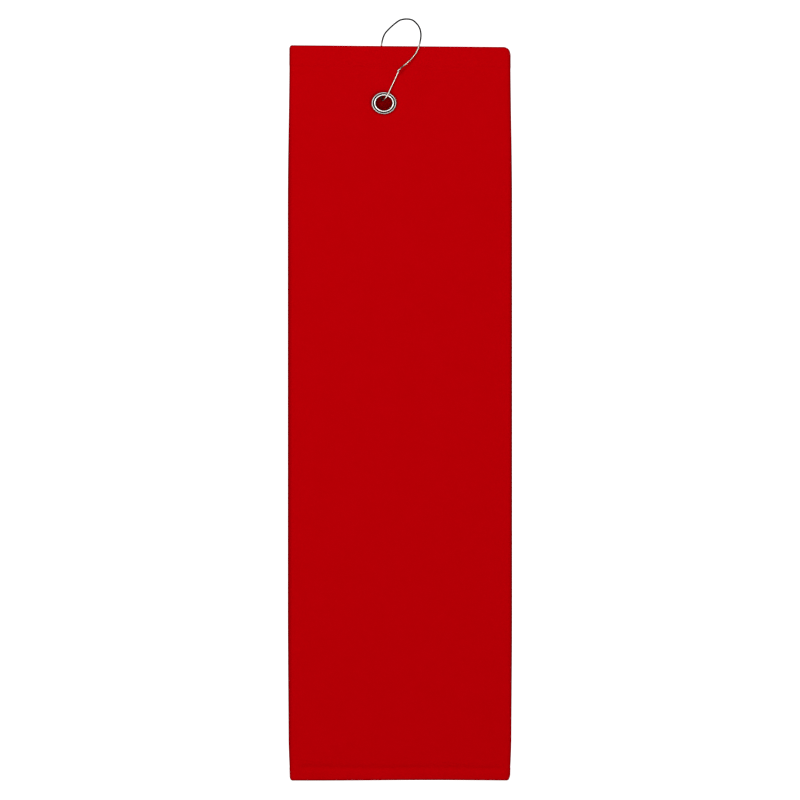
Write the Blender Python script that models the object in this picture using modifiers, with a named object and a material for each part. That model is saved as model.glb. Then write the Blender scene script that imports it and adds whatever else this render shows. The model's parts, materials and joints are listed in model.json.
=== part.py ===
"""Tri-fold golf towel with a grommet and a wire hook.

The towel hangs from its hook. +Z is up, +X is to the right and +Y is towards the back, so the
clean front panel faces -Y. The origin is the hook's hanging point: the inside of its arch.

The towel is one sheet folded in three. The front panel and the inner flap behind it are held
together by the grommet. The outer flap folds over the back, about the right-hand fold, and
closes over the grommet's back. The hook's rear leg runs between the inner and the outer flap.
"""
import math

import bmesh
import bpy
from mathutils import Vector

MM = 0.001

# Towel: overall sizes, plies and hems.
FOLDED_WIDTH = 131.0 * MM
TOWEL_HEIGHT = 432.0 * MM
CLOTH = 2.2 * MM
HEM = 2.5 * MM
SEAM_PINCH = 1.0 * MM
SEAM_HALF_WIDTH = 1.2 * MM
TOP_HEM = 12.0 * MM
BOTTOM_HEM = 7.0 * MM
EDGE_HEM = 8.0 * MM
INNER_EDGE_MARGIN = 1.5 * MM
OUTER_EDGE_MARGIN = 3.0 * MM
THREAD_RADIUS = 0.25 * MM
THREAD_END = 1.0 * MM

# Grommet: its place in the folded towel, and its ring, which is a little wider than tall.
GROMMET_FROM_LEFT = 56.3 * MM
GROMMET_FROM_TOP = 33.5 * MM
RING_RADIUS = 7.45 * MM
HOLE_RADIUS = 4.8 * MM
BARREL_WALL = 0.35 * MM
FLANGE_RISE = 0.7 * MM
WASHER_THICKNESS = 0.5 * MM
PINCH_DEPTH = 0.8 * MM
DIMPLE_FLAT = 0.9 * MM
DIMPLE_RADIUS = 20.0 * MM
RING_HEIGHT_RATIO = 0.885

# Hook: round wire whose foot, in mm from the hanging point, passes through the grommet.
WIRE_RADIUS = 0.5 * MM
FOOT_X = -13.8
FOOT_Z = -47.5
GROMMET_BESIDE_FOOT = 0.8 * MM
GROMMET_BELOW_FOOT = 1.4 * MM

# Fits.
CLEARANCE = 0.3 * MM
NEAR = 0.1 * MM
RING_STEPS = 48
FOLD_STEPS = 8

# Levels through the towel's thickness, measured from the middle of the two pierced plies.
PLY_OFFSET = (HEM + CLEARANCE) / 2
PLIES_HALF = PLY_OFFSET + HEM / 2
FULL_HALF = PLY_OFFSET + CLOTH / 2
PINCHED_HALF = FULL_HALF - PINCH_DEPTH
FLANGE_SEAT = PINCHED_HALF + CLEARANCE
FLANGE_TOP = FLANGE_SEAT + FLANGE_RISE
STITCHED_HALF = PLY_OFFSET + SEAM_PINCH / 2 + CLEARANCE + 2 * THREAD_RADIUS
LEG_OFFSET = max(PLIES_HALF, FLANGE_TOP, STITCHED_HALF) + CLEARANCE + WIRE_RADIUS
FINGER_OFFSET = LEG_OFFSET + 2 * WIRE_RADIUS + CLEARANCE
OUTER_LEVEL = LEG_OFFSET + WIRE_RADIUS + CLEARANCE + HEM / 2

# The towel's outline, measured from the grommet's centre, which is the towel's pivot.
LEFT = -GROMMET_FROM_LEFT
RIGHT = LEFT + FOLDED_WIDTH
TOP = GROMMET_FROM_TOP
BOTTOM = TOP - TOWEL_HEIGHT
LEFT_FOLD_RADIUS = PLY_OFFSET
LEFT_FOLD_X = LEFT + HEM / 2 + LEFT_FOLD_RADIUS
RIGHT_FOLD_RADIUS = (OUTER_LEVEL + PLY_OFFSET) / 2
RIGHT_FOLD_X = RIGHT - HEM / 2 - RIGHT_FOLD_RADIUS
RIGHT_FOLD_Y = (OUTER_LEVEL - PLY_OFFSET) / 2
INNER_EDGE_X = RIGHT_FOLD_X - INNER_EDGE_MARGIN
OUTER_EDGE_X = LEFT + OUTER_EDGE_MARGIN
# The fold is split in its middle. The cut faces lean by half a fold step.
SPLIT_LEAN = HEM / 2 * math.sin(math.pi / 4 / FOLD_STEPS)
SPLIT_ANGLE = (CLEARANCE / 2 + SPLIT_LEAN) / (RIGHT_FOLD_RADIUS - HEM / 2)

# Pivots: of the towel and the latch arm from the hanging point, and of the flap from the towel.
FOOT = Vector((FOOT_X, 0.0, FOOT_Z)) * MM
TOWEL_PIVOT = FOOT + Vector((GROMMET_BESIDE_FOOT, 0.0, -GROMMET_BELOW_FOOT))
FLAP_PIVOT = Vector((RIGHT + CLEARANCE, RIGHT_FOLD_Y, 0.0))

# The hook's route, from the finger over the arch to the foot: x, depth and z. A depth of -1 is
# in front of the plies, 1 is behind them, and the finger stands one wire further forward.
FINGER = -FINGER_OFFSET / LEG_OFFSET
FRAME_ROUTE = [
    (-4.9, FINGER, -29.9),
    (-3.6, FINGER, -28.8),
    (-1.3, 0.6 * FINGER - 0.4, -26.8),
    (1.6, -1.15, -24.3),
    (4.4, -1.05, -21.4),
    (6.5, -1.0, -18.2),
    (8.0, -1.0, -14.0),
    (8.75, -1.0, -9.6),
    (8.3, -0.85, -5.6),
    (6.6, -0.5, -2.5),
    (3.7, -0.1, 0.0),
    (0.0, 0.25, 0.6),
    (-3.6, 0.5, -0.1),
    (-6.9, 0.75, -2.4),
    (-10.2, 0.95, -5.4),
    (-12.6, 1.0, -8.3),
    (-14.0, 1.0, -12.2),
    (-14.9, 1.0, -18.0),
    (-15.3, 1.0, -26.0),
    (-15.3, 1.0, -35.0),
    (-15.0, 1.0, -42.0),
    (-14.7, 0.98, -45.2),
    (-14.2, 0.72, -46.9),
    (FOOT_X, 0.35, FOOT_Z),
    (FOOT_X, 0.05, FOOT_Z),
]
ARM_ROUTE = [
    (FOOT_X, -0.05, FOOT_Z),
    (FOOT_X, -0.3, FOOT_Z),
    (-13.5, -0.62, -47.3),
    (-12.8, -0.9, -46.7),
    (-11.8, -1.0, -45.6),
    (-10.5, -1.0, -43.4),
    (-9.2, -1.0, -40.6),
    (-6.4, -1.0, -34.5),
    (-3.7, -1.0, -28.6),
]


def new_material(name, colour, roughness, metallic):
    material = bpy.data.materials.new(name)
    material.use_nodes = True
    shader = material.node_tree.nodes["Principled BSDF"]
    shader.inputs["Base Color"].default_value = (*colour, 1.0)
    shader.inputs["Roughness"].default_value = roughness
    shader.inputs["Metallic"].default_value = metallic
    return material


def new_collection(name):
    collection = bpy.data.collections.new(name)
    bpy.context.scene.collection.children.link(collection)
    return collection


def new_pivot(name, location, parent, collection):
    pivot = bpy.data.objects.new(name, None)
    pivot.parent = parent
    pivot.location = location
    collection.objects.link(pivot)
    return pivot


def new_object(name, data, material, parent, collection):
    obj = bpy.data.objects.new(name, data)
    obj.parent = parent
    data.materials.append(material)
    collection.objects.link(obj)
    return obj


def smooth_route(points, per_span):
    """Catmull-Rom curve through the points."""
    route = []
    for index in range(len(points) - 1):
        before = points[max(index - 1, 0)]
        start = points[index]
        end = points[index + 1]
        after = points[min(index + 2, len(points) - 1)]
        for step in range(per_span):
            t = step / per_span
            route.append(0.5 * (2 * start + (end - before) * t
                                + (2 * before - 5 * start + 4 * end - after) * t ** 2
                                + (3 * start - before - 3 * end + after) * t ** 3))
    route.append(points[-1])
    return route


def tube(name, points, radius, resolution, material, parent, collection):
    """Round wire or thread along a list of points."""
    curve = bpy.data.curves.new(name, "CURVE")
    curve.dimensions = "3D"
    curve.bevel_depth = radius
    curve.bevel_resolution = resolution
    curve.use_fill_caps = True
    spline = curve.splines.new("POLY")
    spline.points.add(len(points) - 1)
    for control, point in zip(spline.points, points):
        control.co = (*point, 1.0)
    return new_object(name, curve, material, parent, collection)


# Cloth ---------------------------------------------------------------------------------------


def spaced(stops):
    """Sorted stops without near doubles."""
    kept = []
    for stop in sorted(stops):
        if not kept or stop - kept[-1] > NEAR:
            kept.append(stop)
    return kept


def dimple_stops():
    return [DIMPLE_RADIUS * step / 4 for step in range(-4, 5)]


def row_stops(pierced):
    """Heights of the sheet's rows: edges, hem seams and, where pierced, the grommet's dimple."""
    stops = [TOP, BOTTOM]
    for seam in (TOP - TOP_HEM, BOTTOM + BOTTOM_HEM):
        stops += [seam - SEAM_HALF_WIDTH, seam, seam + SEAM_HALF_WIDTH]
    if pierced:
        stops += [stop for stop in dimple_stops() if BOTTOM < stop < TOP]
    return spaced(stops)


def edge_seam_stops(edge, inward):
    seam = edge + inward * EDGE_HEM
    return [edge, seam - SEAM_HALF_WIDTH, seam, seam + SEAM_HALF_WIDTH]


def arc(centre_x, centre_y, radius, start, end):
    """Points of a fold, by angle from +X towards +Y."""
    points = []
    for step in range(FOLD_STEPS + 1):
        angle = start + (end - start) * step / FOLD_STEPS
        points.append((centre_x + radius * math.cos(angle), centre_y + radius * math.sin(angle)))
    return points


def inner_flap_path():
    """From the free edge to the left fold."""
    stops = edge_seam_stops(INNER_EDGE_X, -1) + dimple_stops()
    stops = [stop for stop in spaced(stops) if stop > LEFT_FOLD_X]
    return [(x, PLY_OFFSET) for x in reversed(stops)]


def front_panel_path():
    """From the left fold to the right one."""
    return [(x, -PLY_OFFSET) for x in dimple_stops()]


def main_path():
    """Middle line of the pierced plies, seen from above: inner flap, left fold, front panel."""
    path = inner_flap_path()
    path += arc(LEFT_FOLD_X, 0.0, LEFT_FOLD_RADIUS, math.pi / 2, 3 * math.pi / 2)
    path += front_panel_path()
    path += arc(RIGHT_FOLD_X, RIGHT_FOLD_Y, RIGHT_FOLD_RADIUS, -math.pi / 2, -SPLIT_ANGLE)
    return path


def flap_path():
    """Middle line of the outer flap, from the split in the right fold to its free edge."""
    path = arc(RIGHT_FOLD_X, RIGHT_FOLD_Y, RIGHT_FOLD_RADIUS, SPLIT_ANGLE, math.pi / 2)
    path += [(x, OUTER_LEVEL) for x in reversed(spaced(edge_seam_stops(OUTER_EDGE_X, 1)))]
    return path


def ramp(value, low, high):
    """Smooth step from 0 to 1."""
    t = min(max((value - low) / (high - low), 0.0), 1.0)
    return t * t * (3 - 2 * t)


def squeeze(x, z):
    """Share of its thickness that the pierced stack keeps near the grommet."""
    pinched = PINCHED_HALF / FULL_HALF
    share = ramp(math.hypot(x, z), RING_RADIUS + DIMPLE_FLAT, DIMPLE_RADIUS)
    return pinched + (1 - pinched) * share


def ply_thickness(from_edge, z):
    """Thickness of one ply: thicker in the hems, pinched at their seams."""
    depths = [(TOP - z, TOP_HEM), (z - BOTTOM, BOTTOM_HEM), (from_edge, EDGE_HEM)]
    if any(abs(depth - hem) < NEAR for depth, hem in depths):
        return SEAM_PINCH
    if any(depth < hem for depth, hem in depths):
        return HEM
    return CLOTH


def ply_points(path, rows, pierced):
    """Sheet's middle surface: one list of points for each row."""
    grid = []
    for z in rows:
        grid.append([(x, y * squeeze(x, z) if pierced else y, z) for x, y in path])
    return grid


def sheet_object(name, path, edge, inward, pierced, material, parent, collection):
    """Sheet of cloth as a grid that is wrapped round the path and thickened."""
    rows = row_stops(pierced)
    grid = ply_points(path, rows, pierced)
    columns = len(path)
    bm = bmesh.new()
    bmesh.ops.create_grid(bm, x_segments=columns - 1, y_segments=len(rows) - 1, size=1.0)
    mesh = bpy.data.meshes.new(name)
    bm.to_mesh(mesh)
    bm.free()
    obj = new_object(name, mesh, material, parent, collection)
    group = obj.vertex_groups.new(name="thickness")
    origin = Vector((0.0, 0.0, 0.0)) if pierced else FLAP_PIVOT
    for vertex in mesh.vertices:
        column = round((vertex.co.x + 1) / 2 * (columns - 1))
        row = round((vertex.co.y + 1) / 2 * (len(rows) - 1))
        x, y, z = grid[row][column]
        on_edge_ply = column < len(inner_flap_path()) if pierced else y == OUTER_LEVEL
        from_edge = (x - edge) * inward if on_edge_ply else FOLDED_WIDTH
        thickness = ply_thickness(from_edge, z)
        if pierced:
            thickness *= squeeze(x, z)
        group.add([vertex.index], thickness / HEM, "REPLACE")
        vertex.co = Vector((x, y, z)) - origin
    solid = obj.modifiers.new("Thickness", "SOLIDIFY")
    solid.thickness = HEM
    solid.offset = 0.0
    solid.use_even_offset = True
    solid.vertex_group = group.name
    solid.thickness_vertex_group = 0.0
    return obj


def pierce(cloth, parent, cutters):
    """Oval hole for the grommet's barrel through both pierced plies."""
    bpy.ops.mesh.primitive_cylinder_add(vertices=RING_STEPS, radius=1.0, depth=6 * PLIES_HALF)
    cutter = bpy.context.object
    cutter.name = "grommet_hole_cutter"
    for collection in list(cutter.users_collection):
        collection.objects.unlink(cutter)
    cutters.objects.link(cutter)
    barrel = HOLE_RADIUS + BARREL_WALL
    for vertex in cutter.data.vertices:
        vertex.co.x *= barrel + CLEARANCE
        vertex.co.y *= barrel * RING_HEIGHT_RATIO + CLEARANCE
    cutter.rotation_euler.x = math.pi / 2
    cutter.parent = parent
    cutter.hide_render = True
    cutter.display_type = "WIRE"
    cut = cloth.modifiers.new("Grommet hole", "BOOLEAN")
    cut.operation = "DIFFERENCE"
    cut.solver = "EXACT"
    cut.object = cutter


# Hem threads ---------------------------------------------------------------------------------


def outward_points(path, z, pierced):
    """Points just outside a seam, where its thread lies, along a path seen from above."""
    points = []
    for index, (x, y) in enumerate(path):
        ahead = path[min(index + 1, len(path) - 1)]
        behind = path[max(index - 1, 0)]
        along = Vector((ahead[0] - behind[0], ahead[1] - behind[1])).normalized()
        share = squeeze(x, z) if pierced else 1.0
        reach = SEAM_PINCH / 2 * share + CLEARANCE + THREAD_RADIUS
        normal = Vector((along.y, -along.x))
        points.append(Vector((x + normal.x * reach, y * share + normal.y * reach, z)))
    return points


def trimmed(path, edge, inward):
    """Path that starts a little inside the free edge."""
    start = edge + inward * THREAD_END
    return [(start if abs(x - edge) < NEAR else x, y) for x, y in path]


def seam_threads(path, names, edge, inward, level, pierced, material, parent, parts):
    """Top, bottom and free-edge threads of one part of the sheet."""
    shift = Vector((0.0, 0.0, 0.0)) if pierced else FLAP_PIVOT
    run = trimmed(path, edge, inward)
    seams = (TOP - TOP_HEM, BOTTOM + BOTTOM_HEM)
    for name, z in zip(names, seams):
        points = [point - shift for point in outward_points(run, z, pierced)]
        tube(name, points, THREAD_RADIUS, 2, material, parent, parts)
    x = edge + inward * EDGE_HEM
    end_gap = 2 * THREAD_RADIUS + CLEARANCE
    upper_end = seams[0] - end_gap
    lower_end = seams[1] + end_gap
    heights = [lower_end, upper_end] + [z for z in row_stops(pierced) if lower_end < z < upper_end]
    points = []
    for z in sorted(heights):
        share = squeeze(x, z) if pierced else 1.0
        reach = SEAM_PINCH / 2 * share + CLEARANCE + THREAD_RADIUS
        points.append(Vector((x, level * share + reach, z)) - shift)
    tube(names[2], points, THREAD_RADIUS, 2, material, parent, parts)


# Grommet -------------------------------------------------------------------------------------


def turned_ring(name, profile, material, parent, collection):
    """Ring turned about the grommet's axis; the profile gives radius and height to the front."""
    mesh = bpy.data.meshes.new(name)
    bm = bmesh.new()
    corners = [bm.verts.new((radius, 0.0, height)) for radius, height in profile]
    for index, corner in enumerate(corners):
        bm.edges.new((corner, corners[(index + 1) % len(corners)]))
    bm.to_mesh(mesh)
    bm.free()
    obj = new_object(name, mesh, material, parent, collection)
    obj.rotation_euler.x = math.pi / 2
    obj.scale.y = RING_HEIGHT_RATIO
    screw = obj.modifiers.new("Turned", "SCREW")
    screw.steps = RING_STEPS
    screw.render_steps = RING_STEPS
    screw.use_merge_vertices = True
    screw.merge_threshold = 0.001 * MM
    return obj


def eyelet_profile():
    """Rolled outer rim, shallow groove, raised inner lip and barrel, clockwise from the lip."""
    inner = HOLE_RADIUS
    outer = RING_RADIUS
    barrel = HOLE_RADIUS + BARREL_WALL
    back = -(FLANGE_SEAT + WASHER_THICKNESS)
    width = outer - inner
    return [
        (inner + 0.30 * width, FLANGE_TOP),
        (inner + 0.45 * width, FLANGE_SEAT + 0.75 * FLANGE_RISE),
        (inner + 0.60 * width, FLANGE_SEAT + 0.50 * FLANGE_RISE),
        (inner + 0.80 * width, FLANGE_SEAT + 0.85 * FLANGE_RISE),
        (inner + 0.93 * width, FLANGE_SEAT + 0.70 * FLANGE_RISE),
        (outer, FLANGE_SEAT + 0.35 * FLANGE_RISE),
        (inner + 0.97 * width, FLANGE_SEAT),
        (barrel, FLANGE_SEAT),
        (barrel, back),
        (inner, back),
        (inner, FLANGE_SEAT + 0.30 * FLANGE_RISE),
        (inner + 0.04 * width, FLANGE_SEAT + 0.70 * FLANGE_RISE),
        (inner + 0.15 * width, FLANGE_SEAT + 0.95 * FLANGE_RISE),
    ]


def washer_profile():
    """Flat ring with eased edges, clockwise from its inner front corner."""
    inner = HOLE_RADIUS + BARREL_WALL + CLEARANCE
    outer = RING_RADIUS
    front = -FLANGE_SEAT
    back = front - WASHER_THICKNESS
    ease = 0.3 * WASHER_THICKNESS
    return [
        (inner, front),
        (outer - ease, front),
        (outer, front - ease),
        (outer, back + ease),
        (outer - ease, back),
        (inner, back),
    ]


# Hook ----------------------------------------------------------------------------------------


def wire_points(route, origin):
    """Route in metres, smoothed, with depths turned into distances from the plies' middle."""
    corners = [Vector((x * MM, depth * LEG_OFFSET, z * MM)) - origin for x, depth, z in route]
    return smooth_route(corners, 3)


def build():
    for obj in list(bpy.data.objects):
        bpy.data.objects.remove(obj, do_unlink=True)
    parts = new_collection("golf_towel")
    cutters = new_collection("cutters")

    velour = new_material("red_velour", (0.48, 0.0, 0.002), 0.9, 0.0)
    terry = new_material("red_terry", (0.42, 0.0, 0.002), 0.95, 0.0)
    thread = new_material("red_thread", (0.36, 0.0, 0.002), 0.6, 0.0)
    nickel = new_material("nickel_ring", (0.72, 0.71, 0.69), 0.22, 1.0)
    steel = new_material("steel_wire", (0.62, 0.61, 0.6), 0.2, 1.0)

    towel_pivot = new_pivot("towel_pivot", TOWEL_PIVOT, None, parts)
    flap_pivot = new_pivot("flap_pivot", FLAP_PIVOT, towel_pivot, parts)
    latch_pivot = new_pivot("latch_pivot", FOOT, None, parts)

    cloth = sheet_object("towel_cloth", main_path(), INNER_EDGE_X, -1, True, velour,
                         towel_pivot, parts)
    pierce(cloth, towel_pivot, cutters)
    sheet_object("outer_flap", flap_path(), OUTER_EDGE_X, 1, False, terry, flap_pivot, parts)
    towel_threads = ("top_hem_thread", "bottom_hem_thread", "inner_edge_thread")
    flap_threads = ("flap_top_thread", "flap_bottom_thread", "flap_edge_thread")
    seam_threads(main_path(), towel_threads, INNER_EDGE_X, -1, PLY_OFFSET, True, thread,
                 towel_pivot, parts)
    seam_threads(flap_path(), flap_threads, OUTER_EDGE_X, 1, OUTER_LEVEL, False, thread,
                 flap_pivot, parts)

    turned_ring("grommet_eyelet", eyelet_profile(), nickel, towel_pivot, parts)
    turned_ring("grommet_washer", washer_profile(), nickel, towel_pivot, parts)

    hang_point = Vector((0.0, 0.0, 0.0))
    tube("hook_frame", wire_points(FRAME_ROUTE, hang_point), WIRE_RADIUS, 3, steel, None, parts)
    tube("hook_latch_arm", wire_points(ARM_ROUTE, FOOT), WIRE_RADIUS, 3, steel, latch_pivot,
         parts)


build()
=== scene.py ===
"""Looks of the tri-fold golf towel with its grommet and wire hook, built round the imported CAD."""
import json
import math

import bmesh
import bpy
import numpy as np
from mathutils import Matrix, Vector


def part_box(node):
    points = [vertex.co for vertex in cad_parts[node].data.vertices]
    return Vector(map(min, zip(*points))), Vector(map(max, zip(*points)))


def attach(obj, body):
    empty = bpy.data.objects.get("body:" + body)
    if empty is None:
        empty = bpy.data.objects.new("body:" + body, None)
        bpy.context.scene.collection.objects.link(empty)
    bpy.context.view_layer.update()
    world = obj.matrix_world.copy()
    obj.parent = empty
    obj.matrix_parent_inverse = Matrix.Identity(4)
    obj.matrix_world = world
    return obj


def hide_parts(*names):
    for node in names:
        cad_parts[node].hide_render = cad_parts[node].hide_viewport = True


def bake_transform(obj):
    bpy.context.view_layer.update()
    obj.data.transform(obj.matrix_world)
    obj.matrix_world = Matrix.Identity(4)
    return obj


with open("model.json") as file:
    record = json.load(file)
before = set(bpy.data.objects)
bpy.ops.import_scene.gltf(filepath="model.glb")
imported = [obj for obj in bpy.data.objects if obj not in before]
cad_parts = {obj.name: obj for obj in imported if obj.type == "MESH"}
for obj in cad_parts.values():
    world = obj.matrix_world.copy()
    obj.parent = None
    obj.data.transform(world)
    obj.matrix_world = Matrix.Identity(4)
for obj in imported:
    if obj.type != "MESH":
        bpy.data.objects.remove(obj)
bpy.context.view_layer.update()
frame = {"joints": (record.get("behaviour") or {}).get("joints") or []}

MM = 0.001


def in_mm(place):
    """A place of the frame in mm, to the nearest 0.1."""
    return [round(number / MM, 1) for number in place]


# The folded towel, in mm from the hook's hanging point, as the CAD has it. PLY_LEVEL is how far
# the middle of the front panel and of the inner flap lie from y = 0, and FLAP_LEVEL is the outer
# flap's.
JOINT_AT = {joint["name"]: in_mm(joint["pos_m"]) for joint in frame["joints"]}
RING_X, _, RING_Z = JOINT_AT["towel_swing"]
FOOT_X, _, FOOT_Z = JOINT_AT["latch_flex"]
LEFT, _, BOTTOM = in_mm(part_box("towel_cloth")[0])
TOP = in_mm(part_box("towel_cloth")[1])[2]
FOLDED_WIDTH = 131.0
RIGHT = LEFT + FOLDED_WIDTH
MIDDLE = (LEFT + RIGHT) / 2
FOLD_HALF = 1.25
PLY_LEVEL = 1.4
FLAP_LEVEL = 5.55
LEFT_FOLD_X = LEFT + FOLD_HALF + PLY_LEVEL
FOLD_RADIUS = (FLAP_LEVEL + PLY_LEVEL) / 2
FOLD_Y = (FLAP_LEVEL - PLY_LEVEL) / 2
RIGHT_FOLD_X = RIGHT - FOLD_HALF - FOLD_RADIUS
INNER_EDGE_X = RIGHT_FOLD_X - 1.5
FLAP_EDGE_X = LEFT + 3.0

# Cloth and hems. CLAMPED is what the cloth loses on each face under the ring.
CLOTH_HALF = 1.1
HEM_HALF = 1.22
HEM_STEP = 0.6
EDGE_ROLL = 1.25
TOP_HEM = 12.0
BOTTOM_HEM = 7.0
EDGE_HEM = 8.0
CLAMPED = 0.5
CORNER_RADIUS = 1.1
HOLE_IN_CLOTH = 5.6
HOLE_CELLS = 5.9
HOLE_BAND = (5.0, 6.9)

# Hook and grommet. LEG is how far the wire's legs lie from y = 0, and a route's depths are in LEGs.
WIRE_RADIUS = 0.5
WIRE_SIDES = 20
LEG = 3.5
FINGER = -4.8 / LEG
HOLE_RADIUS = 4.8
RING_RADIUS = 7.45
RING_RATIO = 0.885
RING_STEPS = 120
GROOVE_SHARE = 0.53

# Where the wire turns dark with painted dark reflection, in mm, and the colours of the painted dark
# reflection on the wire's arch and on the ring's groove and rim.
PAINTED_DARK_FROM_Z = -16.5
PAINTED_DARK_TO_Z = -12.0
PAINTED_DARK_TOP_COLOUR = (0.025, 0.025, 0.025, 1.0)
PAINTED_REFLECTION_COLOUR = (0.02, 0.02, 0.02, 1.0)


# Small tools ----------------------------------------------------------------------------------


def ramp(value, low, high):
    """Smooth step from 0 to 1, for numbers and arrays."""
    t = np.clip((value - low) / (high - low), 0.0, 1.0)
    return t * t * (3 - 2 * t)


def ripple(a, b, waves):
    """Sum of slanted sine waves: length, direction, phase and height of each."""
    total = 0.0
    for length, direction, phase, height in waves:
        along = a * math.cos(direction) + b * math.sin(direction)
        total = total + height * np.sin(2 * math.pi * along / length + phase)
    return total


def walk(start, end, coarse, features):
    """Stops from start to end. Spacing is coarse, and fine near each (place, reach, fine)."""
    sign = 1.0 if end > start else -1.0
    stops = [start]
    while (end - stops[-1]) * sign > 1e-6:
        step = coarse
        for place, reach, fine in features:
            away = max(abs(stops[-1] - place) - reach, 0.0)
            step = min(step, fine + 0.28 * away)
        stops.append(stops[-1] + sign * step)
    stretch = (end - start) / (stops[-1] - start)
    return [start + (stop - start) * stretch for stop in stops]


def add_mesh(name, vertices, faces, material):
    """Smooth-shaded mesh object, linked to the scene."""
    mesh = bpy.data.meshes.new(name)
    mesh.from_pydata([tuple(v) for v in vertices], [], [tuple(int(i) for i in f) for f in faces])
    mesh.validate()
    mesh.polygons.foreach_set("use_smooth", [True] * len(mesh.polygons))
    mesh.materials.append(material)
    obj = bpy.data.objects.new(name, mesh)
    bpy.context.scene.collection.objects.link(obj)
    return obj


def face_outwards(obj):
    """Turns every face of a closed mesh outwards."""
    bm = bmesh.new()
    bm.from_mesh(obj.data)
    bmesh.ops.recalc_face_normals(bm, faces=bm.faces)
    bm.to_mesh(obj.data)
    bm.free()


def add_shade(obj, name, values):
    """Stores one number from 0 to 1 on each point, for the material to read."""
    shade = obj.data.attributes.new(name, "FLOAT", "POINT")
    shade.data.foreach_set("value", values.astype(np.float32))


def tube_faces(count, sides):
    """Faces of a tube of this many rings of points, closed at both ends."""
    faces = [tuple(range(sides))[::-1]]
    for ring in range(count - 1):
        for side in range(sides):
            a = ring * sides + side
            b = ring * sides + (side + 1) % sides
            faces.append((a, b, b + sides, a + sides))
    faces.append(tuple(range((count - 1) * sides, count * sides)))
    return faces


# Materials ------------------------------------------------------------------------------------


class Nodes:
    """Short calls for building one material."""

    def __init__(self, name):
        self.material = bpy.data.materials.new(name)
        self.material.use_nodes = True
        self.tree = self.material.node_tree
        self.shader = self.tree.nodes["Principled BSDF"]

    def add(self, kind, links=None, **values):
        """New node. links gives each input a number, a colour or another node's output."""
        node = self.tree.nodes.new(kind)
        for key, value in values.items():
            setattr(node, key, value)
        for socket, source in (links or {}).items():
            if isinstance(source, (int, float, tuple)):
                node.inputs[socket].default_value = source
            else:
                self.tree.links.new(source, node.inputs[socket])
        return node

    def noise(self, vector, scale, detail, roughness):
        links = {"Vector": vector, "Scale": scale, "Detail": detail, "Roughness": roughness}
        return self.add("ShaderNodeTexNoise", links).outputs["Fac"]

    def math(self, operation, a, b):
        return self.add("ShaderNodeMath", {0: a, 1: b}, operation=operation).outputs[0]

    def blend(self, share, low, high):
        """Colour between low and high by share."""
        links = {"Factor": share, 6: low, 7: high}
        return self.add("ShaderNodeMix", links, data_type="RGBA").outputs[2]

    def span(self, value, low, high, start, end):
        """Maps low to high onto start to end."""
        links = {"Value": value, "From Min": low, "From Max": high, "To Min": start, "To Max": end}
        return self.add("ShaderNodeMapRange", links).outputs["Result"]

    def bump(self, height, strength, distance):
        links = {"Height": height, "Strength": strength, "Distance": distance}
        return self.add("ShaderNodeBump", links).outputs["Normal"]

    def feed(self, socket, source):
        self.tree.links.new(source, self.shader.inputs[socket])

    def set(self, **values):
        for socket, value in values.items():
            self.shader.inputs[socket.replace("_", " ")].default_value = value


def velour_material():
    """Short cut pile: matt, fine fibre grain, faint nap, with painted shade at the edges and folds and
    a painted shadow round the ring.
    """
    # The third colour is the dark red of the painted shade.
    dark, light, painted_shade_red = (0.535, 0.0, 0.0014, 1.0), (0.57, 0.0, 0.0028, 1.0), (0.16, 0.0, 0.002, 1.0)
    most_painted_shade = 0.6
    n = Nodes("velour_red")
    where = n.add("ShaderNodeUVMap", uv_map="cloth").outputs["UV"]
    fibre = n.noise(where, 2.6, 3.0, 0.65)
    tuft = n.noise(where, 0.75, 2.0, 0.55)
    nap = n.noise(where, 0.06, 2.0, 0.5)
    grain = n.math("ADD", n.math("MULTIPLY", fibre, 0.5), n.math("MULTIPLY", tuft, 0.3))
    grain = n.math("ADD", grain, n.math("MULTIPLY", nap, 0.2))
    colour = n.blend(n.span(grain, 0.36, 0.64, 0.0, 1.0), dark, light)
    # Painted shade at the edges and folds and a painted shadow round the ring, read from the point
    # attribute.
    painted_shade = n.add("ShaderNodeAttribute", attribute_name="painted_edge_shade").outputs["Fac"]
    n.feed("Base Color", n.blend(n.span(painted_shade, 0.0, 1.0, 0.0, most_painted_shade), colour, painted_shade_red))
    n.feed("Roughness", n.span(tuft, 0.3, 0.7, 0.92, 1.0))
    n.feed("Normal", n.bump(n.math("ADD", fibre, n.math("MULTIPLY", tuft, 0.8)), 0.35, 0.00012))
    n.set(Specular_IOR_Level=0.0, Sheen_Weight=0.05, Sheen_Roughness=0.6)
    n.set(Sheen_Tint=(1.0, 0.03, 0.05, 1.0))
    return n.material


def terry_material():
    """Uncut loops, bright at their tops and dark between them with painted shade."""
    tops, between = (0.53, 0.0, 0.002, 1.0), (0.27, 0.0, 0.001, 1.0)
    n = Nodes("terry_red")
    where = n.add("ShaderNodeUVMap", uv_map="cloth").outputs["UV"]
    drift = n.add("ShaderNodeTexNoise", {"Vector": where, "Scale": 0.5}).outputs["Color"]
    bent = n.add("ShaderNodeMixRGB", {"Fac": 0.12, "Color1": where, "Color2": drift})
    loops = n.add("ShaderNodeTexVoronoi", {"Vector": bent.outputs[0], "Scale": 0.9,
                                           "Randomness": 0.75}).outputs["Distance"]
    strands = n.noise(where, 3.5, 2.0, 0.6)
    height = n.math("SUBTRACT", n.math("MULTIPLY", strands, 0.35), loops)
    # Painted shade: the base colour darkens between the loops.
    n.feed("Base Color", n.blend(n.span(loops, 0.1, 0.75, 0.0, 1.0), tops, between))
    n.feed("Normal", n.bump(height, 0.9, 0.0007))
    n.set(Roughness=0.97, Specular_IOR_Level=0.0, Sheen_Weight=0.04, Sheen_Roughness=0.5)
    n.set(Sheen_Tint=(1.0, 0.04, 0.06, 1.0))
    return n.material


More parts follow.
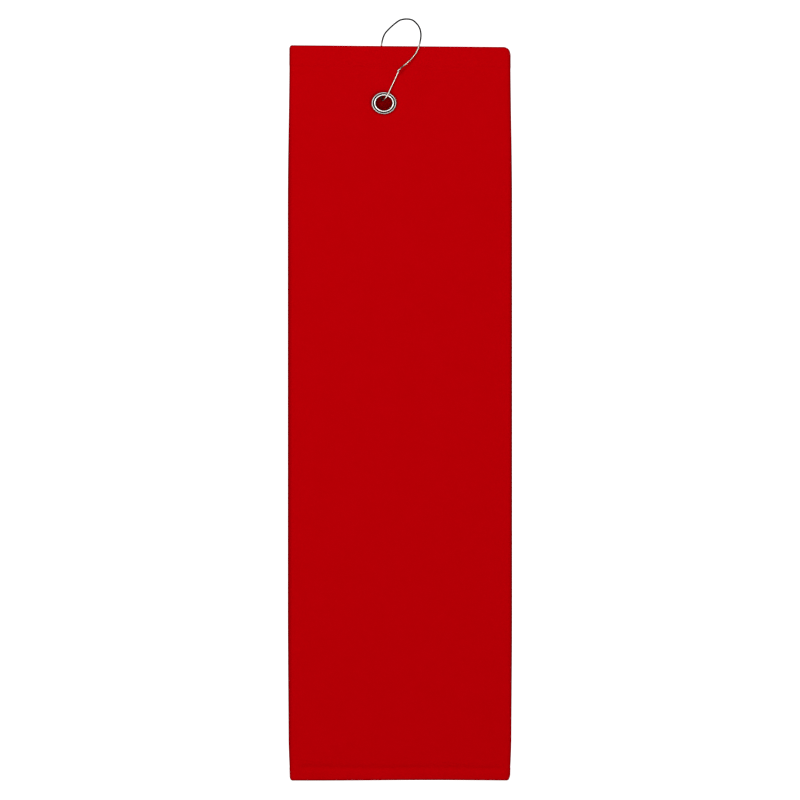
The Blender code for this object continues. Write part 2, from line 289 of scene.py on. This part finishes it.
def thread_material():
    """Twisted cotton thread."""
    n = Nodes("thread_red")
    where = n.add("ShaderNodeTexCoord").outputs["Object"]
    twist = n.add("ShaderNodeTexWave", {"Vector": where, "Scale": 1400.0, "Distortion": 1.5},
                  bands_direction="DIAGONAL").outputs["Fac"]
    dark, light = (0.46, 0.0, 0.001, 1.0), (0.57, 0.0, 0.002, 1.0)
    n.feed("Base Color", n.blend(twist, dark, light))
    n.feed("Normal", n.bump(twist, 0.4, 0.00006))
    n.set(Roughness=0.7, Specular_IOR_Level=0.05)
    return n.material


def metal_material(name, dark, light, smooth, worn, scratch, painted_dark_top=False):
    """Bright plate with faint rubbing marks and dull spots, and darker where painted dark reflection is
    laid on.

    smooth and worn are its least and greatest roughness. If the top is to be dark, the metal darkens
    with height: painted dark reflection over the wire's arch."""
    n = Nodes(name)
    where = n.add("ShaderNodeTexCoord").outputs["Object"]
    cloud = n.noise(where, 260.0, 3.0, 0.55)
    stretched = n.add("ShaderNodeMapping", {"Vector": where, "Scale": (900.0, 900.0, 5200.0)})
    marks = n.noise(stretched.outputs[0], 1.0, 2.0, 0.6)
    colour = n.blend(n.span(cloud, 0.35, 0.7, 0.0, 1.0), light, dark)
    # Painted dark reflection: the wire darkens towards its top, over the arch.
    if painted_dark_top:
        height = n.add("ShaderNodeSeparateXYZ", {"Vector": where}).outputs["Z"]
        share = n.span(height, PAINTED_DARK_FROM_Z * MM, PAINTED_DARK_TO_Z * MM, 0.0, 1.0)
        colour = n.blend(share, colour, PAINTED_DARK_TOP_COLOUR)
    # Painted dark reflection where the point attribute says so: the ring's groove and outer rim.
    painted_dark_reflection = n.add("ShaderNodeAttribute", attribute_name="painted_dark_reflection").outputs["Fac"]
    n.feed("Base Color", n.blend(painted_dark_reflection, colour, PAINTED_REFLECTION_COLOUR))
    n.feed("Roughness", n.span(n.math("ADD", cloud, marks), 0.7, 1.3, smooth, worn))
    n.feed("Normal", n.bump(marks, scratch, 0.00003))
    n.set(Metallic=1.0, Specular_Tint=(0.35, 0.35, 0.35, 1.0))
    return n.material


# The folded sheet -----------------------------------------------------------------------------


def fold_path():
    """Middle line seen from above: inner flap, left fold, front panel, right fold, outer flap.

    Gives the run along it, its points and the directions that the cloth's outer face looks in."""
    arc_steps, spacing = 24, 0.25
    corners = [(INNER_EDGE_X, PLY_LEVEL), (LEFT_FOLD_X, PLY_LEVEL)]
    for step in range(1, arc_steps + 1):
        turn = math.pi / 2 + math.pi * step / arc_steps
        corners.append((LEFT_FOLD_X + PLY_LEVEL * math.cos(turn), PLY_LEVEL * math.sin(turn)))
    rise = FOLD_RADIUS - CORNER_RADIUS
    bend_x = RIGHT_FOLD_X + FOLD_RADIUS - CORNER_RADIUS
    corners.append((bend_x, -PLY_LEVEL))
    for start, middle in ((-90, FOLD_Y - rise), (0, FOLD_Y + rise)):
        for step in range(1, arc_steps + 1):
            turn = math.radians(start + 90 * step / arc_steps)
            corners.append((bend_x + CORNER_RADIUS * math.cos(turn),
                            middle + CORNER_RADIUS * math.sin(turn)))
    corners += [(RIGHT_FOLD_X, FLAP_LEVEL), (FLAP_EDGE_X, FLAP_LEVEL)]
    dense = [corners[0]]
    for start, end in zip(corners, corners[1:]):
        count = max(1, int(math.dist(start, end) / spacing))
        for step in range(1, count + 1):
            share = step / count
            dense.append(tuple(a + (b - a) * share for a, b in zip(start, end)))
    points = np.array(dense)
    gaps = np.hypot(*np.diff(points, axis=0).T)
    run = np.concatenate([[0.0], np.cumsum(gaps)])
    along = np.gradient(points, run, axis=0)
    along /= np.hypot(*along.T)[:, None]
    return run, points, np.column_stack([along[:, 1], -along[:, 0]])


RUN, PATH, OUTWARD = fold_path()
RUN_END = float(RUN[-1])
LEFT_FOLD_RUN = INNER_EDGE_X - LEFT_FOLD_X
FRONT_START = LEFT_FOLD_RUN + math.pi * PLY_LEVEL
FRONT_END = FRONT_START + RIGHT_FOLD_X + FOLD_RADIUS - CORNER_RADIUS - LEFT_FOLD_X
FLAP_START = FRONT_END + math.pi * CORNER_RADIUS + 3 * (FOLD_RADIUS - CORNER_RADIUS)
INNER_RING_RUN = INNER_EDGE_X - RING_X
FRONT_RING_RUN = FRONT_START + RING_X - LEFT_FOLD_X


def rolled(distance):
    """Share of its thickness that the cloth keeps this far from a turned edge."""
    t = np.clip(distance / EDGE_ROLL, 0.0, 1.0)
    return np.sqrt(1 - (1 - t) ** 2)


def groove(away, depth, width):
    """Depth of a sewn channel at a distance from its middle."""
    return depth * np.exp(-(away / width) ** 2)


def top_seam_z(run):
    """Height of the top seam, which wavers a little."""
    return TOP - TOP_HEM + ripple(run, 0.0, [(61.0, 0.0, 0.4, 0.12), (23.0, 0.0, 1.9, 0.06)])


def bottom_seam_z(run):
    """Height of the bottom seam, which wavers and falls across the front panel."""
    slope = -0.5 * ramp(run, FRONT_START, FRONT_END)
    waves = ripple(run, 0.0, [(74.0, 0.0, 2.2, 0.28), (27.0, 0.0, 0.7, 0.12)])
    return BOTTOM + BOTTOM_HEM + 0.25 + slope + waves


def edge_seam_run(z, edge_run):
    """Run of the seam beside the sheet's edge at edge_run."""
    inwards = EDGE_HEM if edge_run < RUN_END / 2 else -EDGE_HEM
    return edge_run + inwards + ripple(z, 0.0, [(83.0, 0.0, 0.3, 0.2), (29.0, 0.0, 1.2, 0.1)])


def off_the_folds(run):
    """0 on the two folds, where the seams' channels fade out, and 1 on the flat plies."""
    left = (LEFT_FOLD_RUN + FRONT_START) / 2
    right = (FRONT_END + FLAP_START) / 2
    return ramp(np.abs(run - left), 3.0, 9.0) * ramp(np.abs(run - right), 5.0, 11.0)


def half_thickness(run, z):
    """Half the sheet's thickness: fuller in the hems, sunk at the seams, rolled at the edges."""
    top_z, bottom_z = top_seam_z(run), bottom_seam_z(run)
    crease_below = 3.1
    hem = 1 - ramp(z, bottom_z - HEM_STEP, bottom_z + HEM_STEP)
    hem = np.maximum(hem, ramp(z, top_z - HEM_STEP, top_z + HEM_STEP))
    from_edge = np.minimum(run, RUN_END - run)
    hem = np.maximum(hem, 1 - ramp(from_edge, EDGE_HEM - HEM_STEP, EDGE_HEM + HEM_STEP))
    half = CLOTH_HALF + (HEM_HALF - CLOTH_HALF) * hem
    flat = off_the_folds(run)
    half = half - flat * groove(z - top_z, 0.03, 1.4)
    half = half - flat * groove(z - bottom_z, 0.6, 1.9)
    half = half - flat * groove(z - bottom_z + crease_below, 0.05, 0.8)
    for edge_run in (0.0, RUN_END):
        half = half - groove(run - edge_seam_run(z, edge_run), 0.3, 0.8)
    for ring_run in (INNER_RING_RUN, FRONT_RING_RUN):
        away = np.hypot(run - ring_run, (z - RING_Z) / RING_RATIO)
        half = half - groove(away - RING_RADIUS - 0.1, 0.3, 0.75)
        half = half - CLAMPED * (1 - ramp(away, RING_RADIUS - 0.5, RING_RADIUS + 0.7))
    return half * rolled(TOP - z) * rolled(z - BOTTOM) * rolled(from_edge)


def surface(run, z, side, lift=0.0):
    """World points in metres of the cloth's outer (1) or inner (-1) face."""
    run, z = np.broadcast_arrays(np.asarray(run, float), np.asarray(z, float))
    half = half_thickness(run, z) + lift
    x = np.interp(run, RUN, PATH[:, 0]) + np.interp(run, RUN, OUTWARD[:, 0]) * side * half
    y = np.interp(run, RUN, PATH[:, 1]) + np.interp(run, RUN, OUTWARD[:, 1]) * side * half
    y = uneven_y(run, x, y, z)
    x = outline_x(x, z)
    z = outline_z(x, y, z)
    return np.stack([x, y, z], axis=-1) * MM


def uneven_y(run, x, y, z):
    """Plies pulled together round the ring and pressed unevenly, with an outer flap that hangs full."""
    on_flap = ramp(run, FRONT_END, FLAP_START)
    away = np.hypot(x - RING_X, (z - RING_Z) / RING_RATIO)
    pinch = 0.14 * (1 - ramp(away, RING_RADIUS + 0.3, RING_RADIUS + 6.0))
    y = y * (1 - pinch * (1 - on_flap))
    pressed = ripple(x, z, [(96.0, 0.5, 0.2, 0.07), (61.0, 1.9, 1.4, 0.05), (38.0, 1.1, 2.6, 0.02)])
    from_fold = ramp(RIGHT_FOLD_X - x, 2.0, 40.0)
    loose = 0.5 + ripple(x, z, [(118.0, 1.3, 0.9, 0.45), (67.0, 0.4, 2.0, 0.25)])
    lower = ramp(TOP - z, 60.0, 260.0)
    return y + (1 - on_flap) * pressed + on_flap * from_fold * (0.15 + np.abs(loose) * (0.4 + lower))


def outline_x(x, z):
    """Sides a little fuller half way down than at both ends, and drawn in at the bottom edge."""
    share = (x - MIDDLE) / (RIGHT - MIDDLE)
    fullness = np.where(share > 0, 1.0, 0.55)
    ends = 1.0 * (1 - ramp(TOP - z, 0.0, 95.0)) + 0.5 * ramp(TOP - z, 330.0, 425.0)
    taper = 0.7 * ramp(TOP - z, 408.0, 432.0)
    return x + share * np.abs(share) * (fullness - ends - taper)


def outline_z(x, y, z):
    """Eased corners, a top edge that falls to the right and a bottom edge that waves and sags."""
    top_rise, top_slope, bottom_sag = 0.1, 0.0083, 0.5
    for inset, radius, reach in ((RIGHT - x, 4.4, 16.0), (x - LEFT, 2.2, 10.0)):
        z = z - corner_drop(inset, radius) * (1 - ramp(TOP - z, 0.0, reach))
    for inset, radius in ((RIGHT - 0.6 - x, 2.0), (x - LEFT - 0.6, 1.9)):
        z = z + corner_drop(inset, radius) * (1 - ramp(z - BOTTOM, 0.0, 12.0))
    z = z + (1 - ramp(z - BOTTOM, 0.0, 40.0)) * ripple(x, y, [(140.0, 0.0, 1.0, 0.15)])
    z = z + ramp(z, TOP - 60.0, TOP) * (top_rise - top_slope * (x - MIDDLE))
    return z - (1 - ramp(z - BOTTOM, 0.0, 60.0)) * bottom_sag


def corner_drop(inset, radius):
    """How far an eased corner of this radius falls away at a distance in from its side."""
    rest = radius - np.clip(inset, 0.0, radius)
    return radius - np.sqrt(radius ** 2 - rest ** 2)


def sheet_stops():
    """Runs of the columns and heights of the rows, close together at folds, edges, seams and rings."""
    coarse, edge, seam, ring = 4.5, 0.09, 0.5, 0.72
    inner = walk(0.0, LEFT_FOLD_RUN, coarse, [(0.0, 0.0, edge), (EDGE_HEM, 0.8, seam),
                                             (INNER_RING_RUN, 9.0, ring), (LEFT_FOLD_RUN, 0.0, 0.5)])
    left = list(np.linspace(LEFT_FOLD_RUN, FRONT_START, 11))
    front = walk(FRONT_START, FRONT_END, coarse, [(FRONT_START, 0.0, 0.5), (FRONT_RING_RUN, 9.0, ring),
                                                 (FRONT_END, 0.0, 0.35)])
    right = list(np.linspace(FRONT_END, FLAP_START, 25))
    outer = walk(FLAP_START, RUN_END, coarse, [(FLAP_START, 0.0, 0.7), (RUN_END, 0.0, edge),
                                               (RUN_END - EDGE_HEM, 0.8, seam)])
    columns = inner + left[1:] + front[1:] + right[1:] + outer[1:]
    rows = walk(TOP, BOTTOM, coarse, [(TOP, 0.0, edge), (TOP - TOP_HEM, 0.8, seam),
                                      (RING_Z, 9.0, ring), (BOTTOM + BOTTOM_HEM, 5.0, seam),
                                      (BOTTOM, 0.0, edge)])
    return np.array(columns), np.array(rows)


def hole_cells(columns, rows):
    """Cells that the grommet's barrel takes away, in the front panel and the inner flap."""
    middle_run = (columns[1:] + columns[:-1]) / 2
    middle_z = (rows[1:] + rows[:-1]) / 2
    cut = np.zeros((len(rows) - 1, len(columns) - 1), bool)
    for centre in (INNER_RING_RUN, FRONT_RING_RUN):
        away = np.hypot(middle_run[None, :] - centre, (middle_z[:, None] - RING_Z) / RING_RATIO)
        cut |= away < HOLE_CELLS
    return cut


def round_holes(run, z, edges):
    """Moves the grid points on the edges of the two holes onto ovals that the ring covers."""
    for centre in (INNER_RING_RUN, FRONT_RING_RUN):
        away = np.hypot(run - centre, (z - RING_Z) / RING_RATIO)
        moved = edges & (away > HOLE_BAND[0]) & (away < HOLE_BAND[1])
        pull = np.where(moved, HOLE_IN_CLOTH / np.maximum(away, 0.1), 1.0)
        run = np.where(moved, centre + (run - centre) * pull, run)
        z = np.where(moved, RING_Z + (z - RING_Z) * pull, z)
    return run, z


def sheet_faces(outer, inner, cut):
    """Faces of the cells that aren't cut, with walls round the holes. Kind 1 is the inner face."""
    faces = []
    kinds = []
    height, width = cut.shape
    for i in range(height):
        for j in range(width):
            if cut[i, j]:
                continue
            faces.append((outer[i, j], outer[i + 1, j], outer[i + 1, j + 1], outer[i, j + 1]))
            faces.append((inner[i, j], inner[i, j + 1], inner[i + 1, j + 1], inner[i + 1, j]))
            kinds += [0, 1]
            walls = (((i - 1, j), (i, j), (i, j + 1)), ((i + 1, j), (i + 1, j), (i + 1, j + 1)),
                     ((i, j - 1), (i, j), (i + 1, j)), ((i, j + 1), (i, j + 1), (i + 1, j + 1)))
            for cell, a, b in walls:
                if 0 <= cell[0] < height and 0 <= cell[1] < width and cut[cell]:
                    faces.append((outer[a], outer[b], inner[b], inner[a]))
                    kinds.append(0)
    return faces, kinds


def towel_sheet(velour, terry):
    """One closed sheet: outer face, inner face and the walls of the grommet's two holes."""
    columns, rows = sheet_stops()
    run, z = round_holes(*np.meshgrid(columns, rows), touches_hole(columns, rows))
    outer = surface(run, z, 1.0)
    inner = surface(run, z, -1.0)
    outer_index = np.arange(run.size).reshape(run.shape)
    rim = np.ones(run.shape, bool)
    rim[1:-1, 1:-1] = False
    inner_index = np.where(rim, outer_index, outer_index + run.size)
    faces, kinds = sheet_faces(outer_index, inner_index, hole_cells(columns, rows))

    vertices = np.concatenate([outer.reshape(-1, 3), inner.reshape(-1, 3)])
    places = np.concatenate([np.stack([run, z], -1).reshape(-1, 2)] * 2)
    used = np.unique(np.array([i for face in faces for i in face]))
    new_index = -np.ones(len(vertices), int)
    new_index[used] = np.arange(len(used))
    vertices, places = vertices[used], places[used]
    faces = [tuple(new_index[i] for i in face) for face in faces]

    obj = add_mesh("towel_sheet", vertices, faces, velour)
    obj.data.materials.append(terry)
    obj.data.polygons.foreach_set("material_index", kinds)
    # Painted shade at the edges and folds and a painted shadow round the ring.
    add_shade(obj, "painted_edge_shade", painted_edge_shade(places, vertices))
    layer = obj.data.uv_layers.new(name="cloth")
    corners = np.empty(len(obj.data.loops), np.int32)
    obj.data.loops.foreach_get("vertex_index", corners)
    layer.data.foreach_set("uv", places[corners].astype(np.float32).ravel())
    face_outwards(obj)
    return obj


def painted_edge_shade(places, points):
    """Painted shade: dark at the turned edges and sharp folds, and a painted shadow round the ring."""
    run, z = places[:, 0], places[:, 1]
    x = points[:, 0] / MM
    painted_shade = groove(TOP - z, 1.0, 0.55) + groove(z - BOTTOM, 1.0, 0.55)
    painted_shade = painted_shade + groove(np.minimum(run, RUN_END - run), 1.0, 0.8)
    away = np.hypot(run - FRONT_RING_RUN, (z - RING_Z) / RING_RATIO)
    painted_shade = painted_shade + groove(away - RING_RADIUS - 0.5, 0.9, 0.5)
    painted_shade = painted_shade + groove(np.maximum(x - LEFT, 0.0), 1.0, 1.3) * (run < FRONT_START + 2.0)
    painted_shade = painted_shade + groove(np.maximum(RIGHT + 0.6 - x, 0.0), 1.0, 0.5) * (run > FRONT_END - 2.0)
    return np.minimum(painted_shade, 1.0)


def touches_hole(columns, rows):
    """Grid points on the edge of the cells that are cut away."""
    cut = np.pad(hole_cells(columns, rows), 1)
    around = [cut[:-1, :-1], cut[1:, :-1], cut[:-1, 1:], cut[1:, 1:]]
    return np.any(around, axis=0) & ~np.all(around, axis=0)


# Stitches -------------------------------------------------------------------------------------


STITCH = 2.5
STITCH_GAP = 0.45
THREAD = 0.21
THREAD_SIDES = 6
SEAM_INSET = 1.0
STITCH_ARCH = np.array([-0.32, -0.2, -0.17, -0.2, -0.32])


def stitch_shell(points):
    """Vertices and faces of one short bent strand with tapered ends."""
    count = len(points)
    vertices = []
    for index, point in enumerate(points):
        ahead = points[min(index + 1, count - 1)]
        behind = points[max(index - 1, 0)]
        along = (ahead - behind) / np.linalg.norm(ahead - behind)
        across = np.cross(along, (0.3, 0.5, 0.81))
        across /= np.linalg.norm(across)
        other = np.cross(along, across)
        swell = math.sin(math.pi * (index + 0.6) / (count + 0.2)) ** 0.6
        for side in range(THREAD_SIDES):
            turn = 2 * math.pi * side / THREAD_SIDES
            reach = across * math.cos(turn) + other * math.sin(turn)
            vertices.append(point + reach * (THREAD * MM) * swell)
    return vertices, tube_faces(count, THREAD_SIDES)


def stitch_row(name, place, length, material):
    """Lockstitches on both faces along a seam. place gives run and z for a distance along it.

    Each stitch rises in its middle and dips into the cloth at both ends."""
    vertices = []
    faces = []
    count = int(length / (STITCH + STITCH_GAP))
    pitch = length / count
    for index in range(count):
        start = index * pitch + STITCH_GAP / 2
        stops = np.linspace(start, start + pitch - STITCH_GAP, len(STITCH_ARCH))
        run, z = place(stops)
        for side in (1.0, -1.0):
            shell, shell_faces = stitch_shell(surface(run, z, side, STITCH_ARCH))
            base = len(vertices)
            vertices += shell
            faces += [tuple(i + base for i in face) for face in shell_faces]
    obj = add_mesh(name, vertices, faces, material)
    face_outwards(obj)
    return obj


# Metal ----------------------------------------------------------------------------------------


def smooth_route(points, per_span):
    """Catmull-Rom curve through the points."""
    points = [np.asarray(point, float) for point in points]
    route = []
    for index in range(len(points) - 1):
        before = points[max(index - 1, 0)]
        start, end = points[index], points[index + 1]
        after = points[min(index + 2, len(points) - 1)]
        for step in range(per_span):
            t = step / per_span
            route.append(0.5 * (2 * start + (end - before) * t
                                + (2 * before - 5 * start + 4 * end - after) * t ** 2
                                + (3 * start - before - 3 * end + after) * t ** 3))
    route.append(points[-1])
    return np.array(route)


def wire(name, route, domed_start, domed_end, material):
    """Round wire along a route of (x, depth in LEGs, z) in mm, with domed or flat ends."""
    points = smooth_route([(x, depth * LEG, z) for x, depth, z in route], 6) * MM
    radius = WIRE_RADIUS * MM
    along = np.gradient(points, axis=0)
    along /= np.linalg.norm(along, axis=1)[:, None]
    rings = [(point, way, radius) for point, way in zip(points, along)]
    turns = np.linspace(0.1, 0.5, 5)[:-1] * math.pi
    if domed_start:
        rings = [(points[0] - along[0] * radius * math.cos(turn), along[0], radius * math.sin(turn))
                 for turn in turns] + rings
    if domed_end:
        rings += [(points[-1] + along[-1] * radius * math.cos(turn), along[-1], radius * math.sin(turn))
                  for turn in turns[::-1]]
    across = np.cross(rings[0][1], (0.0, 1.0, 0.2))
    vertices = []
    for centre, way, reach in rings:
        across = across - way * np.dot(across, way)
        across /= np.linalg.norm(across)
        other = np.cross(way, across)
        for side in range(WIRE_SIDES):
            turn = 2 * math.pi * side / WIRE_SIDES
            vertices.append(centre + (across * math.cos(turn) + other * math.sin(turn)) * reach)
    obj = add_mesh(name, vertices, tube_faces(len(rings), WIRE_SIDES), material)
    face_outwards(obj)
    return obj


def ring(name, profile, material):
    """Oval ring turned about the grommet's axis from (radius, distance to the front) in mm.

    Its groove and its outer rim are darkened with painted dark reflection."""
    vertices = []
    for step in range(RING_STEPS):
        turn = 2 * math.pi * step / RING_STEPS
        for radius, front in profile:
            vertices.append(((RING_X + radius * math.cos(turn)) * MM, -front * MM,
                             (RING_Z + radius * math.sin(turn) * RING_RATIO) * MM))
    count = len(profile)
    faces = []
    for step in range(RING_STEPS):
        after = (step + 1) % RING_STEPS
        for index in range(count):
            follow = (index + 1) % count
            faces.append((step * count + index, step * count + follow,
                          after * count + follow, after * count + index))
    obj = add_mesh(name, vertices, faces, material)
    across = np.array([radius for radius, front in profile]) - HOLE_RADIUS
    across = across / (RING_RADIUS - HOLE_RADIUS)
    # Painted dark reflection in the groove and on the outer rim.
    in_groove = groove(across - GROOVE_SHARE, 1.0, 0.11)
    on_rim = 0.38 * ramp(across, 0.6, 0.72)
    add_shade(obj, "painted_dark_reflection", np.tile(np.minimum(in_groove + on_rim, 1.0), RING_STEPS))
    face_outwards(obj)
    return obj


def rounded_profile(corners):
    """Closed profile smoothed through its corners."""
    per_span = 4
    looped = [corners[-1]] + list(corners) + [corners[0], corners[1]]
    points = smooth_route(looped, per_span)
    return [tuple(p) for p in points[per_span:-per_span - 1]]


# The hook's wire, from the finger catch over the arch and down the back to the foot in the ring,
# and from the foot up the front to the arm's tip.
FRAME_ROUTE = [
    (-4.9, FINGER, -29.9),
    (-3.6, FINGER, -28.8),
    (-1.3, 0.6 * FINGER - 0.4, -26.8),
    (1.6, -1.15, -24.3),
    (4.4, -1.05, -21.4),
    (6.5, -1.0, -18.2),
    (8.0, -1.0, -14.0),
    (8.75, -1.0, -9.6),
    (8.3, -0.85, -5.6),
    (6.6, -0.5, -2.5),
    (3.7, -0.1, 0.0),
    (0.0, 0.25, 0.6),
    (-3.6, 0.5, -0.1),
    (-6.9, 0.75, -2.4),
    (-10.2, 0.95, -5.4),
    (-12.6, 1.0, -8.3),
    (-14.0, 1.0, -12.2),
    (-14.9, 1.0, -18.0),
    (-15.3, 1.0, -26.0),
    (-15.3, 1.0, -35.0),
    (-15.0, 1.0, -42.0),
    (-14.7, 0.98, -45.2),
    (-14.2, 0.72, -46.9),
    (FOOT_X, 0.35, FOOT_Z),
    (FOOT_X, -0.03, FOOT_Z),
]
ARM_ROUTE = [
    (FOOT_X, 0.03, FOOT_Z),
    (FOOT_X, -0.3, FOOT_Z),
    (-13.5, -0.62, -47.3),
    (-12.8, -0.9, -46.7),
    (-11.8, -1.0, -45.6),
    (-10.5, -1.0, -43.4),
    (-9.2, -1.0, -40.6),
    (-6.4, -1.0, -34.5),
    (-3.7, -1.0, -28.6),
]


def eyelet_profile():
    """Rolled rim, shallow groove, raised inner lip and barrel with a turned-over end."""
    inner = HOLE_RADIUS
    width = RING_RADIUS - HOLE_RADIUS
    seat = 2.05
    return rounded_profile([
        (inner + 0.27 * width, seat + 0.74),
        (inner + 0.36 * width, seat + 0.66),
        (inner + 0.43 * width, seat + 0.42),
        (inner + 0.48 * width, seat + 0.08),
        (inner + GROOVE_SHARE * width, seat - 0.02),
        (inner + 0.59 * width, seat + 0.12),
        (inner + 0.70 * width, seat + 0.43),
        (inner + 0.81 * width, seat + 0.49),
        (inner + 0.92 * width, seat + 0.38),
        (inner + 1.00 * width, seat + 0.05),
        (inner + 0.95 * width, seat - 0.28),
        (inner + 0.50 * width, seat - 0.24),
        (inner + 0.40, seat - 0.3),
        (inner + 0.35, 0.0),
        (inner + 0.35, -2.3),
        (inner + 0.50, -2.62),
        (inner + 0.75, -2.66),
        (inner + 0.60, -2.95),
        (inner + 0.10, -2.72),
        (inner, -2.2),
        (inner, 0.0),
        (inner + 0.01, seat + 0.2),
        (inner + 0.12 * width, seat + 0.66),
    ])


def washer_profile():
    """Flat back ring with eased edges."""
    inner = HOLE_RADIUS + 0.6
    return rounded_profile([
        (inner, -1.84),
        (RING_RADIUS - 0.4, -1.82),
        (RING_RADIUS, -2.1),
        (RING_RADIUS - 0.35, -2.45),
        (inner + 0.9, -2.4),
        (inner + 0.1, -2.35),
    ])


# Pieces ---------------------------------------------------------------------------------------


def build_cloth():
    """The sheet and its rows of stitches."""
    velour = velour_material()
    terry = terry_material()
    thread = thread_material()

    sheet = towel_sheet(velour, terry)
    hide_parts("towel_cloth", "outer_flap")
    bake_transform(sheet)

    hems = [
        ("top_hem_stitches", top_seam_z, ("top_hem_thread", "flap_top_thread")),
        ("bottom_hem_stitches", bottom_seam_z, ("bottom_hem_thread", "flap_bottom_thread")),
    ]
    for name, seam_z, nodes in hems:
        def along_hem(distance, seam_z=seam_z):
            run = distance + SEAM_INSET
            return run, seam_z(run)
        row = stitch_row(name, along_hem, RUN_END - 2 * SEAM_INSET, thread)
        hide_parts(*nodes)
        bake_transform(row)

    height = TOP - BOTTOM - TOP_HEM - BOTTOM_HEM - 2 * SEAM_INSET
    edges = [
        ("inner_edge_stitches", 0.0, "towel", "inner_edge_thread"),
        ("flap_edge_stitches", RUN_END, "flap", "flap_edge_thread"),
    ]
    for name, edge_run, body, node in edges:
        def down_edge(distance, edge_run=edge_run):
            z = TOP - TOP_HEM - SEAM_INSET - distance
            return edge_seam_run(z, edge_run), z
        row = stitch_row(name, down_edge, height, thread)
        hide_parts(node)
        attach(row, body)


def build_metal():
    """The grommet's two rings and the hook's wire in two pieces."""
    nickel = metal_material("nickel_plate", dark=(0.62, 0.6, 0.57, 1.0), light=(0.84, 0.82, 0.79, 1.0),
                            smooth=0.16, worn=0.28, scratch=0.05)
    steel = metal_material("bright_wire", dark=(0.62, 0.56, 0.48, 1.0), light=(0.88, 0.8, 0.7, 1.0),
                           smooth=0.16, worn=0.2, scratch=0.004, painted_dark_top=True)
    metal = [
        (ring("eyelet", eyelet_profile(), nickel), "towel", "grommet_eyelet", "nickel"),
        (ring("back_washer", washer_profile(), nickel), "towel", "grommet_washer", "nickel"),
        (wire("hook_wire_frame", FRAME_ROUTE, True, False, steel), "hook", "hook_frame",
         "hook_wire"),
        (wire("hook_wire_arm", ARM_ROUTE, False, True, steel), "latch", "hook_latch_arm",
         "hook_wire"),
    ]
    for piece, body, node, slot in metal:
        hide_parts(node)
        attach(piece, body)


# Studio ---------------------------------------------------------------------------------------


def backdrop():
    """Pale floor that curves up into a wall. White to the camera and dark in reflections."""
    floor_z, front_y, wall_y, wall_top, radius, half_width = -0.62, -2.4, 1.5, 2.4, 0.5, 2.6
    curve_steps = 16
    line = [(front_y, floor_z), (wall_y - radius, floor_z)]
    for step in range(1, curve_steps + 1):
        turn = math.pi / 2 * step / curve_steps
        line.append((wall_y - radius + radius * math.sin(turn),
                     floor_z + radius * (1 - math.cos(turn))))
    line.append((wall_y, wall_top))
    vertices = [(x, y, z) for y, z in line for x in (-half_width, half_width)]
    faces = [(2 * i, 2 * i + 1, 2 * i + 3, 2 * i + 2) for i in range(len(line) - 1)]
    n = Nodes("studio_white")
    where = n.add("ShaderNodeTexCoord").outputs["Object"]
    tone = n.noise(where, 3.0, 2.0, 0.5)
    pale = n.blend(tone, (0.56, 0.56, 0.56, 1.0), (0.6, 0.6, 0.6, 1.0))
    mirrored = n.add("ShaderNodeLightPath").outputs["Is Glossy Ray"]
    n.feed("Base Color", n.blend(mirrored, pale, (0.08, 0.08, 0.08, 1.0)))
    seen = n.add("ShaderNodeLightPath").outputs["Is Camera Ray"]
    n.feed("Emission Strength", seen)
    n.set(Roughness=0.9, Specular_IOR_Level=0.0, Emission_Color=(1.0, 1.0, 1.0, 1.0))
    add_mesh("studio_backdrop", vertices, faces, n.material)


def area_light(name, place, aim, size, power, mirrored=True):
    """Softbox that the camera doesn't see, and that metal mirrors only if mirrored."""
    data = bpy.data.lights.new(name, "AREA")
    data.shape = "RECTANGLE"
    data.size, data.size_y = size
    data.energy = power
    light = bpy.data.objects.new(name, data)
    light.location = place
    light.visible_camera = False
    light.visible_glossy = mirrored
    light.rotation_euler = (Vector(aim) - Vector(place)).to_track_quat("-Z", "Y").to_euler()
    bpy.context.scene.collection.objects.link(light)


def world_light():
    """White to the camera, dim to reflections, soft grey for the rest."""
    seen, reflected, grey = 1.0, 0.06, 0.22
    world = bpy.data.worlds.new("studio")
    world.use_nodes = True
    tree = world.node_tree
    bpy.context.scene.world = world
    path = tree.nodes.new("ShaderNodeLightPath")

    def choice(ray, otherwise, level):
        """Grey background of this level for one kind of ray."""
        background = tree.nodes.new("ShaderNodeBackground")
        background.inputs["Color"].default_value = (level, level, level, 1.0)
        mix = tree.nodes.new("ShaderNodeMixShader")
        tree.links.new(path.outputs[ray], mix.inputs[0])
        tree.links.new(otherwise, mix.inputs[1])
        tree.links.new(background.outputs[0], mix.inputs[2])
        return mix.outputs[0]

    ambient = tree.nodes["Background"]
    ambient.inputs["Color"].default_value = (grey, grey, grey, 1.0)
    shader = choice("Is Glossy Ray", ambient.outputs[0], reflected)
    shader = choice("Is Camera Ray", shader, seen)
    tree.links.new(shader, tree.nodes["World Output"].inputs["Surface"])


def camera():
    """Level view of the whole towel from straight in front, without perspective."""
    view_width, centre_x, centre_z, distance = 0.4712, -3.56, -223.8, 1.2
    data = bpy.data.cameras.new("camera")
    data.type = "ORTHO"
    data.ortho_scale = view_width
    data.clip_start = 0.01
    data.clip_end = 20.0
    obj = bpy.data.objects.new("camera", data)
    obj.location = (centre_x * MM, -distance, centre_z * MM)
    obj.rotation_euler = (math.pi / 2, 0.0, 0.0)
    bpy.context.scene.collection.objects.link(obj)
    bpy.context.scene.camera = obj


def studio():
    bpy.context.scene.view_settings.view_transform = "Standard"
    backdrop()
    world_light()
    area_light("front", (-0.1, -1.6, -0.13), (0.0, 0.0, -0.13), (1.1, 1.1), 12.1)
    area_light("key", (-0.5, -1.0, 0.95), (0.0, 0.0, -0.1), (0.4, 0.4), 7.6, mirrored=False)
    area_light("rear", (0.5, 1.0, 0.9), (0.0, 0.0, -0.2), (0.8, 0.8), 7.0, mirrored=False)
    camera()


build_cloth()
build_metal()
studio()
bpy.context.view_layer.update()
